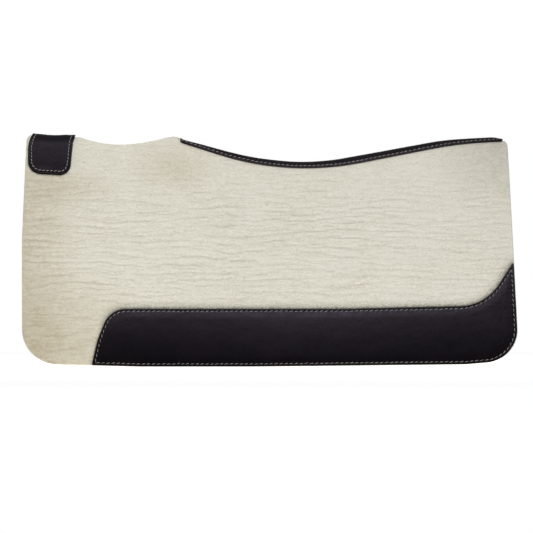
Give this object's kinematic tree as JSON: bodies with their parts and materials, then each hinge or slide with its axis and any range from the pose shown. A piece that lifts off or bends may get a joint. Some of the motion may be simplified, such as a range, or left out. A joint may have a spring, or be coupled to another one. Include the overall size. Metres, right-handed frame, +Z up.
{
  "type": "saddle pad",
  "caption": "Contoured wool-felt saddle pad with a wither vent, a leather topline strip, a wither patch and wear leathers, opening about its ridge to sit on a horse's back.",
  "frame": {"origin": "centre of the pad's plan outline, on the surface that its two lower edges stand on", "axes": "+X from the withers to the loin, +Y to the pad's far (right) side, +Z up"},
  "size_m": [0.7859, 0.3088, 0.3714],
  "materials": {
    "felt": "rough",
    "leather": "satin",
    "thread": "rough"
  },
  "bodies": {
    "spine": {"spine_leather": "leather", "wither_leather": "leather", "spine_needle_thread": "thread", "spine_bobbin_thread": "thread", "wither_needle_thread": "thread", "wither_bobbin_thread": "thread", "centre_seam_thread": "thread"},
    "left_side": {"felt_panel_left": "felt", "wear_leather_left": "leather", "wear_needle_thread_left": "thread", "wear_bobbin_thread_left": "thread"},
    "right_side": {"felt_panel_right": "felt", "wear_leather_right": "leather", "wear_needle_thread_right": "thread", "wear_bobbin_thread_right": "thread"}
  },
  "joints": [
    {"name": "left_fold", "type": "hinge", "parent": "spine", "child": "left_side", "pos_m": [0, 0, 0.3685], "axis": [-1, 0, 0], "range_deg": [0, 35], "stiffness_Nm_per_rad": 8, "springref_deg": -14.32, "deforming": ["spine_leather", "wither_leather", "spine_needle_thread", "spine_bobbin_thread", "wither_needle_thread", "wither_bobbin_thread", "centre_seam_thread"]},
    {"name": "right_fold", "type": "hinge", "parent": "spine", "child": "right_side", "pos_m": [0, 0, 0.3685], "axis": [1, 0, 0], "range_deg": [0, 35], "stiffness_Nm_per_rad": 8, "springref_deg": -14.32, "deforming": ["spine_leather", "wither_leather", "spine_needle_thread", "spine_bobbin_thread", "wither_needle_thread", "wither_bobbin_thread", "centre_seam_thread"]}
  ]
}
